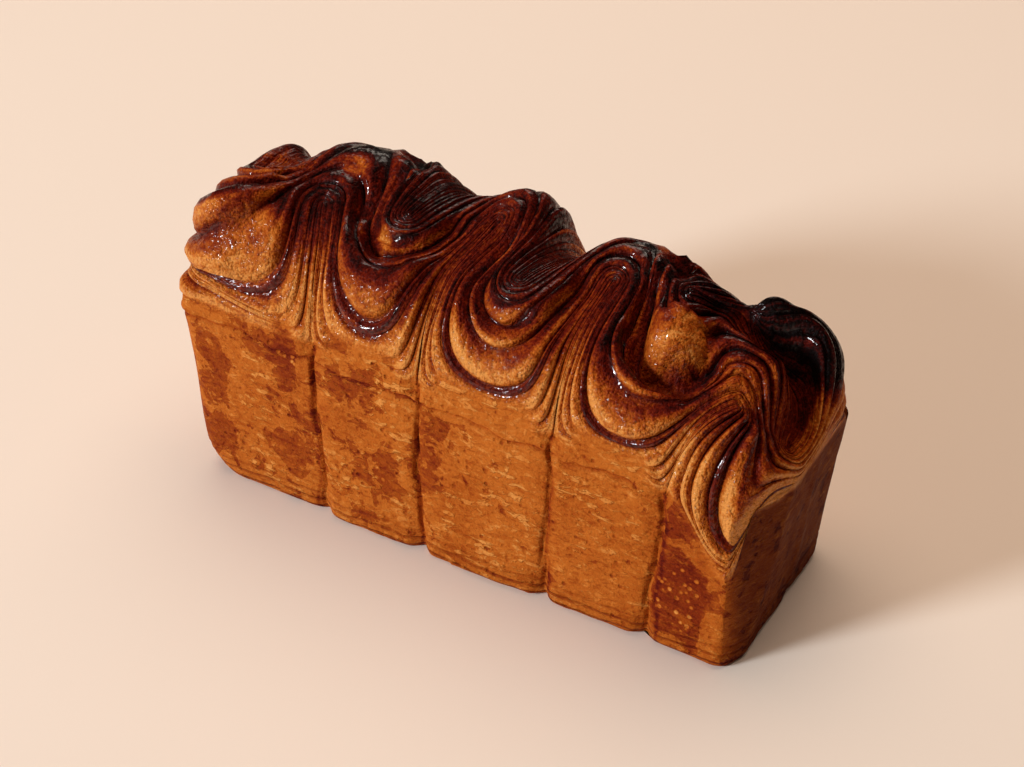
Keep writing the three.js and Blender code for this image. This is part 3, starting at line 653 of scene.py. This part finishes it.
def loaf_mesh():
    """Points and quads of the top, the walls below its rim and the foot."""
    top, chain, strand = loaf_surface()
    columns, rows, _ = top.shape
    points = top.reshape(-1, 3)
    i, j = np.meshgrid(np.arange(columns - 1), np.arange(rows - 1), indexing="ij")
    a = (i * rows + j).ravel()
    quads = np.stack([a, a + rows, a + rows + 1, a + 1], -1)

    edge = points[chain]
    keep = np.concatenate([[True], np.linalg.norm(np.diff(edge, axis=0), axis=1) > 1e-3])
    keep[-1] &= np.linalg.norm(edge[-1] - edge[0]) > 1e-3
    edge = edge[keep]
    m = len(edge)
    levels = len(WALL_LEVELS) - 1
    wall = np.repeat(edge[None], levels + 1, 0).copy()
    wall[..., 2] *= WALL_LEVELS[:, None]
    ahead, behind = np.roll(edge[:, :2], -2, 0), np.roll(edge[:, :2], 2, 0)
    way = (ahead - behind) / np.linalg.norm(ahead - behind, axis=1, keepdims=True)
    stand_out = wall_relief(wall) * ease(0, WALL_START, edge[None, :, 2] - wall[..., 2])
    wall[..., 0] += way[:, 1] * stand_out
    wall[..., 1] -= way[:, 0] * stand_out

    base = len(points)
    v, u = np.meshgrid(np.arange(levels), np.arange(m), indexing="ij")
    w0 = base + (v * m + u).ravel()
    w1 = base + (v * m + (u + 1) % m).ravel()
    wall_quads = np.stack([w0, w0 + m, w1 + m, w1], -1)
    centre = base + wall.size // 3
    ring = base + levels * m + np.arange(m)
    foot = np.stack([ring, np.full(m, centre), np.roll(ring, -1), np.roll(ring, -1)], -1)
    points = draw_in(np.vstack([points, wall.reshape(-1, 3), [[0, 0, 0]]]))
    on_wall = np.arange(len(points)) >= base
    strand = np.vstack([strand.reshape(-1, 3), np.zeros((len(points) - base, 3))])
    return points, np.vstack([quads, wall_quads, foot]), on_wall, strand


def weld(points, quads):
    """The first point at each spot, and the faces between those, without the quads that shrank to nothing."""
    keys = np.round(points / SAME_SPOT).astype(np.int64)
    _, first, inverse = np.unique(keys, axis=0, return_index=True, return_inverse=True)
    faces = []
    for quad in inverse.reshape(-1)[quads].tolist():
        face = [c for k, c in enumerate(quad) if c != quad[k - 1]]
        if len(set(face)) == len(face) >= 3:
            faces.append(face)
    return first, faces


points, quads, on_wall, strand = loaf_mesh()
first, faces = weld(points, quads)
points, on_wall, strand = points[first], on_wall[first], strand[first]
mesh = bpy.data.meshes.new("brioche_loaf_crust")
mesh.from_pydata((points * MM).tolist(), [], faces)
mesh.validate()
mesh.polygons.foreach_set("use_smooth", [True] * len(mesh.polygons))
mesh.update()
loaf = bpy.data.objects.new("brioche_loaf_crust", mesh)
bpy.context.scene.collection.objects.link(loaf)
upward = np.zeros(len(points) * 3, np.float32)
mesh.vertices.foreach_get("normal", upward)
upward = upward[2::3]

# How far each spot of the top is baked, from golden (0) to burnt (1), and how that changes by place. The same tone
# also holds painted shade in the grooves and gaps, and painted sheen on two spots.
GOLDEN, BROWNED, BAKED_OVER = 0.19, 0.51, (0.42, 1.06)
BACK_DARKER, BACK_DARKER_Y = 0.06, (0, 25)
LEFT_PALER, LEFT_PALER_X, LEFT_PALER_Y = 0.2, (-98, -125), (12, -20)
INNER_DARKER, INNER_EVEN, INNER_OVER = 0.16, 0.4, (3, 8)
UP_DARKER, UP_EVEN = 0.24, 0.7
TONE_NOISES = [(0.06, 22, 11), (0.05, 7, 12)]

# Tones across one layer from its groove, as (share, tone), and how strong they are on narrow layers, on
# the fronts of the folds and at the left end. The darkest tone right at the grooves is painted shade.
STEP_AND_GROOVE_SHADE_TONES = ([0, 0.04, 0.13, 0.42, 0.56, 0.84, 0.96, 1], [0.32, 0.22, -0.13, -0.13, 0.12, 0.15, 0.28, 0.32])
NARROW_STEPS, WIDE_OVER = 0.35, (3.0, 5.5)
CALM_EVENER = 0.85
LEFT_STRONGER, LEFT_STRONGER_X = 0.5, (-105, -125)

# The glazed bead, the burnt lobe at the right end, and spots as (x, y, z, radius, tone). The spot on the flat tongue
# top at (18, -20) and the one by the arch near the right end at (126, -20) are set lighter, partly as painted sheen
# of the glaze.
BEAD_TONE, BEAD_FROM = 0.62, 0.15
LOBE_TONE, LOBE_STEPS, LOBE_X, LOBE_Y, LOBE_Z = 0.92, 0.5, (110, 118), (8, 16), (104, 122)
BAKED_AND_SHEEN_SPOTS = [
    (93, -14, 142, 15, 0.06), (-112, -48, 134, 12, 0.12), (-109, -39, 147, 11, 0.24), (-56, -20, 147, 7, 0.12),
    (-88, 9, 163, 7, 0.36), (18, -20, 152, 12, 0.66), (-92, -6, 158, 14, 0.74), (96, 12, 152, 12, 0.8),
    (2, 8, 166, 18, 0.64), (-141, 22, 148, 15, 0.5), (126, -20, 134, 13, 0.34), (-124, -40, 152, 9, 0.42),
]
DARK_SPOT, SPOT_CONTRAST, SPOT_EVEN = 0.5, 0.7, 0.6
# Gaps darkened towards black, partly burnt crust and partly painted shade deep inside them: tone by gap, the share
# kept at their ends, the margin beside them, and the fade in from the rim
GAP_BURN_AND_SHADE = [0.52, 0.72, 0.75, 1.0, 1.0, 0.7]
GAP_DARK_END, GAP_DARK_MARGIN, GAP_DARK_OVER = 0.2, 0.8, (3, 9)


def top_tone_with_painted_light(p, strand, upward):
    x, y, z = p.T
    low, high = shoulder(x, y), plain_crown(x, y)
    height = (z - low) / (high - low)
    tone = GOLDEN + BROWNED * ease(*BAKED_OVER, height) + BACK_DARKER * ease(*BACK_DARKER_Y, y)
    tone *= 1 - LEFT_PALER * ease(*LEFT_PALER_X, x) * ease(*LEFT_PALER_Y, y)
    through, _, width = strand.T
    layer = np.floor(through)
    wide = ease(*WIDE_OVER, width)
    # Tone across each layer, darkest at the grooves as painted shade
    steps = np.interp(through - layer, *STEP_AND_GROOVE_SHADE_TONES) * mix(NARROW_STEPS, 1, wide)
    steps *= 1 - CALM_EVENER * calm(x, y, through)
    tone += steps * (1 + LEFT_STRONGER * ease(*LEFT_STRONGER_X, x))
    tone += INNER_DARKER * (ease(*INNER_OVER, through) - INNER_EVEN) * (1 - wide)
    tone += UP_DARKER * (np.clip(upward, 0, 1) - UP_EVEN)
    tone = np.where((layer == BEAD) & (height > BEAD_FROM), np.maximum(tone, BEAD_TONE), tone)
    tone = mix(tone, LOBE_TONE + LOBE_STEPS * steps, ease(*LOBE_X, x) * ease(*LOBE_Y, y) * ease(*LOBE_Z, z))
    # Spots of set tone, two of them partly painted sheen
    for *middle, radius, level in BAKED_AND_SHEEN_SPOTS:
        near = bell(np.linalg.norm(p - middle, axis=1), radius, 4)
        tone = mix(tone, level + SPOT_CONTRAST * (tone - SPOT_EVEN) * (level > DARK_SPOT), near)
    # Painted shade and burnt crust in the gaps
    for (line, _, gap_width), level in zip(GAPS, GAP_BURN_AND_SHADE):
        d, share = nearest(line, x, y)
        burnt_and_shaded = np.sqrt(arch(share, GAP_DARK_END)) * bell(d, gap_width + GAP_DARK_MARGIN, 4)
        tone = np.maximum(tone, level * burnt_and_shaded * ease(*GAP_DARK_OVER, inset(x, y)))
    return tone + noises(p, TONE_NOISES)


# Walls: tone along the length, how readily dark patches show there, and patches as (x, z, radii, strength)
PANEL_TONES = [(-154, 0.21), (-90, 0.22), (-60, 0.2), (-25, 0.19), (52, 0.2), (100, 0.22), (112, 0.26), (140, 0.25)]
END_TONE, END_OVER, END_Y, END_MARGIN = 0.36, (0, 6), (-53, -50.5), 1.0
PANEL_NOISES = [(0.05, 30, 13)]
FRILL_TONE, FRILL_TONE_AT = 0.18, (-0.8, 1.1)
# A thin dark line along the creases of the front and back, painted shade: its tone, its width, and how near the front
# or back a spot must be
CREASE_SHADE_TONE, CREASE_SHADE_WIDTH, CREASE_SHADE_INSET = 0.2, 1.1, 12
PATCHINESS = [(-154, -0.02), (-80, 0.0), (-30, -0.02), (0, -0.1), (45, -0.13), (100, -0.11), (112, 0.0),
              (154, -0.05)]
WALL_PATCHES = [
    (-93, 90, 10, 11, 0.24), (-137, 66, 10, 18, 0.14), (-138, 26, 12, 12, 0.16), (-92, 34, 9, 16, 0.14),
    (-53, 84, 12, 9, 0.18), (-41, 39, 13, 12, 0.2), (-13, 66, 9, 24, 0.2), (0, 78, 9, 8, 0.14),
    (118, 34, 14, 24, 0.3), (130, 24, 12, 18, 0.2),
]
PALE_PATCHES = [(-115, 60, 14, 14, 0.12), (-58, 30, 10, 12, 0.14), (-60, 66, 9, 14, 0.1), (136, 17, 7, 16, 0.45),
                (133, 58, 10, 6, 0.2)]
PATCHES_Y = (-30, -45)


def wall_stain(p):
    """How readily dark patches show at a spot of the walls."""
    x, y, z = p.T
    stain = along(PATCHINESS, x)
    for patches, way in ((WALL_PATCHES, 1), (PALE_PATCHES, -1)):
        for cx, cz, rx, rz, strength in patches:
            spread = ((x - cx) / rx) ** 2 + ((z - cz) / rz) ** 2
            stain += way * strength * bell(spread, 1) * ease(*PATCHES_Y, y)
    return stain


def on_right_end(p):
    x, y, z = p.T
    return ease(*END_OVER, x - EDGE_FOOT + EDGE_LEAN * z + END_MARGIN) * ease(*END_Y, y)


def wall_tone(p):
    tone = along(PANEL_TONES, p[:, 0]) + noises(p, PANEL_NOISES)
    height, width = FRILL_TONE_AT
    tone += FRILL_TONE * bell(frill(p) - height, width) * ease(*FRILL_X, p[:, 0])
    tone = mix(tone, END_TONE, on_right_end(p))
    on_side = np.abs(p[:, 1]) > HALF_WIDTH - CREASE_SHADE_INSET
    # Darker along the creases: painted shade in them
    return tone + CREASE_SHADE_TONE * bell(crease_spacing(p), CREASE_SHADE_WIDTH) * on_side


# The glaze: thin on pale crust, full on dark crust and on the swollen ball, none on the walls and in holes.
# The walls' finish runs up over the rim a little, further where the outer layers run together.
BALL, BALL_RADIUS = (93, -14, 142), 15
THIN_GLAZE, GLAZE_OVER = 0.4, (0.35, 0.7)
DULL_HOLES, HOLE_DULL, HOLE_MARGIN = [1, 3, 4], 0.9, 1
WALL_OVER, RIM_OVER = (0.34, 0.12), (0.1, 0.0)


def wall_finish(p, on_wall, strand):
    x, y, z = p.T
    rise = (z - shoulder(x, y)) / (plain_crown(x, y) - shoulder(x, y))
    over_rim = ease(*WALL_OVER, rise) * np.maximum(calm(x, y, strand[:, 0]), ease(*RIM_OVER, rise))
    return np.where(on_wall, 1.0, over_rim)


def glaze_weight(p, tone, wall):
    on_ball = bell(np.linalg.norm(p - BALL, axis=1), BALL_RADIUS, 4)
    glaze = mix(np.maximum(mix(THIN_GLAZE, 1, ease(*GLAZE_OVER, tone)), on_ball), 0.0, wall)
    for line, _, width in (GAPS[hole] for hole in DULL_HOLES):
        glaze *= 1 - HOLE_DULL * bell(nearest(line, p[:, 0], p[:, 1])[0], width + HOLE_MARGIN, 4)
    return glaze


def keep(name, kind, field, values):
    values = np.ascontiguousarray(values, dtype=np.float32).ravel()
    mesh.attributes.new(name, kind, "POINT").data.foreach_set(field, values)


wall = wall_finish(points, on_wall, strand)
tone = mix(top_tone_with_painted_light(points, strand, upward), wall_tone(points), wall)
# The top's tone holds painted shade in the grooves and gaps, and painted sheen on two spots
keep("baked", "FLOAT", "value", tone)
keep("glaze", "FLOAT", "value", glaze_weight(points, tone, wall))
keep("wall", "FLOAT", "value", wall)
keep("stain", "FLOAT", "value", wall_stain(points))
# The right end face's colour is dimmed as painted shade
keep("painted_end_shade", "FLOAT", "value", on_right_end(points) * wall)
keep("strand", "FLOAT_VECTOR", "vector", strand)

# Crust: colours from golden to burnt, as (place, sRGB levels)
CRUST_COLOURS = [(0.0, (214, 138, 66)), (0.16, (186, 100, 32)), (0.3, (160, 74, 17)), (0.46, (124, 42, 9)),
                 (0.6, (92, 19, 6)), (0.74, (64, 10, 4)), (0.88, (36, 6, 4)), (1.0, (14, 5, 4))]
# How far the right end face's colour is dimmed: painted shade
END_PAINTED_SHADE = 0.5

# Fineness of the crust's noises per metre, or per layer and column along the strands of dough
STRANDS, MOTTLE, GRAIN, PEBBLE, BEADS = (3.4, 0.04, 0), 60, 850, 330, 420
PATCH, FLECK, FLECK_GROUPS, SCALE = 80, (120, 120, 300), 40, (190, 190, 400)
PORE, PORE_GROUPS, LIP, LIP_PITCH, LIP_SWING = 230, 90, (45, 45, 0), 1350, 9

# How strongly each noise deepens the colour, on the top and on the walls
MOTTLE_DEPTH, GRAIN_DEPTH, PEBBLE_DEPTH, STRAND_DEPTH = 0.2, (0.45, 0.12), (0.45, 0.16), 0.8

# How far each stands out, in the crust and in the glaze over it; both lessen as the crust darkens
BUMP_DISTANCE, GLOSS = 0.003, 0.34
STRAND_LIFT, GRAIN_LIFT, PEBBLE_LIFT, PEBBLE_ON_WALL = 0.45, (0.3, 0.15), (0.8, 0.3), 0.25
BEAD_LIFT, GLOSS_STRANDS = (2.6, 0.2), 0.3

crust = bpy.data.materials.new("crust")
crust.use_nodes = True
nodes, links = crust.node_tree.nodes, crust.node_tree.links
shader = nodes["Principled BSDF"]


def linear(*levels):
    return tuple(((c / 255 + 0.055) / 1.055) ** 2.4 for c in levels) + (1.0,)


def feed(socket, value):
    if isinstance(value, bpy.types.NodeSocket):
        links.new(value, socket)
    else:
        socket.default_value = value


def made(kind, **inputs):
    """A new node with some of its inputs fed, an underscore in a name standing for a space."""
    node = nodes.new(kind)
    for name, value in inputs.items():
        feed(node.inputs[name.replace("_", " ")], value)
    return node


def sums(operation, *values):
    node = nodes.new("ShaderNodeMath")
    node.operation = operation
    for socket, value in zip(node.inputs, values):
        feed(socket, value)
    return node.outputs[0]


def product(first, *others):
    for other in others:
        first = sums("MULTIPLY", first, other)
    return first


def ranged(value, a, b, low, high):
    node = made("ShaderNodeMapRange", Value=value, From_Min=a, From_Max=b, To_Min=low, To_Max=high)
    return node.outputs["Result"]


def stored(name):
    node = nodes.new("ShaderNodeAttribute")
    node.attribute_name = name
    return node


def noise(vector, scale, detail, roughness=0.55, distortion=0.0):
    node = made("ShaderNodeTexNoise", Vector=vector, Scale=scale, Detail=detail, Roughness=roughness,
                Distortion=distortion)
    return node.outputs["Fac"]


def stretched_noise(vector, scale, *detail):
    mapping = made("ShaderNodeMapping", Vector=vector)
    mapping.inputs["Scale"].default_value = scale
    return noise(mapping.outputs["Vector"], 1.0, *detail)


place = nodes.new("ShaderNodeTexCoord").outputs["Object"]
baked, glazed, on_wall, stained = (stored(name).outputs["Fac"] for name in ("baked", "glaze", "wall", "stain"))
on_top = sums("SUBTRACT", 1.0, on_wall)
strands = stretched_noise(stored("strand").outputs["Vector"], STRANDS, 3)
mottle = noise(place, MOTTLE, 4, 0.6)
grain = noise(place, GRAIN, 1)
pebble = noise(place, PEBBLE, 2)
beads = noise(place, BEADS, 1)

# Walls: ragged dark patches with golden specks in the darkest, pale flakes, scales, pores, and lips at the foot
blotch = product(ranged(sums("ADD", noise(place, PATCH, 5, 0.6, 0.5), stained), 0.525, 0.545, 0, 1), on_wall)
deep = product(blotch, ranged(stained, 0.08, 0.22, 0, 1))
flecks = ranged(stretched_noise(place, FLECK, 3, 0.55, 0.5), 0.56, 0.6, 0, 1)
flakes = product(flecks, ranged(noise(place, FLECK_GROUPS, 2), 0.42, 0.56, 0, 1), on_wall)
scales = stretched_noise(place, SCALE, 3, 0.5, 0.6)
scales = sums("SUBTRACT", ranged(scales, 0.57, 0.62, 0, 1), ranged(scales, 0.43, 0.38, 0, 1))
scales = product(scales, on_wall)
cells = made("ShaderNodeTexVoronoi", Vector=place, Scale=PORE).outputs["Distance"]
pores = product(ranged(cells, 0.12, 0.3, 1, 0), ranged(noise(place, PORE_GROUPS, 1), 0.5, 0.6, 0, 1), on_wall)
specks = product(ranged(cells, 0.2, 0.34, 1, 0), ranged(stained, 0.1, 0.2, 0, 1), blotch)
upright = made("ShaderNodeSeparateXYZ", Vector=place).outputs["Z"]
lip_height = sums("MULTIPLY_ADD", stretched_noise(place, LIP, 2), LIP_SWING, product(upright, LIP_PITCH))
lips = product(ranged(sums("SINE", lip_height), 0.2, 1.0, 0, 1), ranged(upright, 0.005, 0.017, 1, 0), on_wall)

# Each mark with how far it deepens the colour and how far it stands out
MARKS = [(blotch, 0.17, -0.06), (deep, 0.06, 0), (flakes, -0.16, 0.14), (scales, -0.07, 0.06), (pores, 0.16, -0.2),
         (specks, -0.36, 0), (lips, 0.16, -0.3)]


def around_middle(value):
    return sums("SUBTRACT", value, 0.5)


depth = sums("MULTIPLY_ADD", around_middle(mottle), MOTTLE_DEPTH, baked)
depth = sums("MULTIPLY_ADD", around_middle(grain), ranged(on_wall, 0, 1, *GRAIN_DEPTH), depth)
depth = sums("MULTIPLY_ADD", around_middle(pebble), ranged(on_wall, 0, 1, *PEBBLE_DEPTH), depth)
depth = sums("MULTIPLY_ADD", product(around_middle(strands), on_top), STRAND_DEPTH, depth)
lift = sums("MULTIPLY_ADD", strands, product(on_top, STRAND_LIFT), product(grain, ranged(on_wall, 0, 1, *GRAIN_LIFT)))
rough = product(ranged(baked, 0.3, 0.7, *PEBBLE_LIFT), ranged(on_wall, 0, 1, 1, PEBBLE_ON_WALL))
lift = sums("MULTIPLY_ADD", pebble, rough, lift)
for mark, deeper, higher in MARKS:
    depth = sums("MULTIPLY_ADD", mark, deeper, depth)
    if higher:
        lift = sums("MULTIPLY_ADD", mark, higher, lift)
ramp = made("ShaderNodeValToRGB", Fac=depth)
while len(ramp.color_ramp.elements) < len(CRUST_COLOURS):
    ramp.color_ramp.elements.new(0.5)
for element, (position, colour) in zip(ramp.color_ramp.elements, CRUST_COLOURS):
    element.position = position
    element.color = linear(*colour)
# Dim the right end face's colour: painted shade
dimmed = made("ShaderNodeHueSaturation", Color=ramp.outputs["Color"],
              Value=ranged(stored("painted_end_shade").outputs["Fac"], 0, 1, 1.0, END_PAINTED_SHADE))
feed(shader.inputs["Base Color"], dimmed.outputs["Color"])
feed(shader.inputs["Roughness"], sums("MULTIPLY_ADD", glazed, -0.2, ranged(mottle, 0.3, 0.7, 0.56, 0.72)))
shader.inputs["Specular IOR Level"].default_value = 0.05
feed(shader.inputs["Coat Weight"], product(glazed, ranged(beads, 0.42, 0.6, 0.1, 0.8)))
shader.inputs["Coat Roughness"].default_value = 0.1
bump = made("ShaderNodeBump", Strength=1.0, Distance=BUMP_DISTANCE, Height=lift)
feed(shader.inputs["Normal"], bump.outputs["Normal"])
gloss_lift = sums("MULTIPLY_ADD", beads, ranged(baked, 0.15, 0.65, *BEAD_LIFT), product(strands, GLOSS_STRANDS))
gloss = made("ShaderNodeBump", Strength=GLOSS, Distance=BUMP_DISTANCE, Height=gloss_lift)
feed(shader.inputs["Coat Normal"], gloss.outputs["Normal"])
mesh.materials.append(crust)

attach(loaf, "root")
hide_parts("brioche_loaf")

# A plain pale floor that runs out of the picture, in metres
FLOOR_HALF, FLOOR_COLOUR, FLOOR_ROUGHNESS = 6, (0.88, 0.785, 0.70, 1), 0.9
floor_mesh = bpy.data.meshes.new("floor")
floor_mesh.from_pydata([(x * FLOOR_HALF, y * FLOOR_HALF, 0) for x, y in ((-1, -1), (1, -1), (1, 1), (-1, 1))],
                       [], [(0, 1, 2, 3)])
floor = bpy.data.objects.new("floor", floor_mesh)
bpy.context.scene.collection.objects.link(floor)
paper = bpy.data.materials.new("pale_floor")
paper.use_nodes = True
paper_shader = paper.node_tree.nodes["Principled BSDF"]
paper_shader.inputs["Base Color"].default_value = FLOOR_COLOUR
paper_shader.inputs["Roughness"].default_value = FLOOR_ROUGHNESS
floor_mesh.materials.append(paper)

# Soft studio light, in metres and watts: a low key from the front left, a wide warm panel overhead, a panel
# behind that only the gloss sees, and a dim surround
SURROUND_COLOUR, SURROUND_STRENGTH = (0.767, 0.588, 0.451, 1), 0.12


def lamp(name, shape, size, watts, colour, spot, aim):
    light = bpy.data.lights.new(name, "AREA")
    light.shape, light.size, light.energy, light.color = shape, size, watts, colour
    holder = bpy.data.objects.new(name, light)
    holder.location = spot
    holder.rotation_euler = (Vector(aim) - Vector(spot)).to_track_quat("-Z", "Y").to_euler()
    bpy.context.scene.collection.objects.link(holder)
    return holder


lamp("key", "DISK", size=0.82, watts=152, colour=(0.9, 0.96, 1.0), spot=(-2.17, -3.0, 1.53), aim=(0, 0, 0.08))
overhead = lamp("overhead", "SQUARE", size=2.6, watts=50, colour=(1.0, 0.77, 0.60), spot=(-0.3, 0.75, 2.3),
                aim=(0, 0.15, 0))
overhead.visible_glossy = False
backdrop = lamp("backdrop", "SQUARE", size=1.2, watts=10, colour=(1.0, 0.86, 0.74), spot=(-0.8, 1.7, 1.45),
                aim=(0, 0, 0.12))
backdrop.visible_diffuse = False
world = bpy.data.worlds.new("surround")
bpy.context.scene.world = world
world.use_nodes = True
world.cycles_visibility.glossy = False
world.node_tree.nodes["Background"].inputs["Color"].default_value = SURROUND_COLOUR
world.node_tree.nodes["Background"].inputs["Strength"].default_value = SURROUND_STRENGTH
bpy.context.scene.view_settings.view_transform = "Standard"

# Camera at the photo's angle, with its focal length in pixels of the picture
AZIMUTH, ELEVATION = 0.52291, 0.64073
TARGET = Vector((-47.745, 86.651, 0)) * MM
DISTANCE = 1078.53 * MM
FOCAL_PIXELS, PICTURE_WIDTH, SENSOR = 2000, 1024, 36
away = Vector((math.sin(AZIMUTH) * math.cos(ELEVATION), -math.cos(AZIMUTH) * math.cos(ELEVATION),
               math.sin(ELEVATION)))
lens = bpy.data.cameras.new("camera")
lens.sensor_width = SENSOR
lens.lens = FOCAL_PIXELS * SENSOR / PICTURE_WIDTH
camera = bpy.data.objects.new("camera", lens)
camera.location = TARGET + away * DISTANCE
camera.rotation_euler = away.to_track_quat("Z", "Y").to_euler()
bpy.context.scene.collection.objects.link(camera)
bpy.context.scene.camera = camera
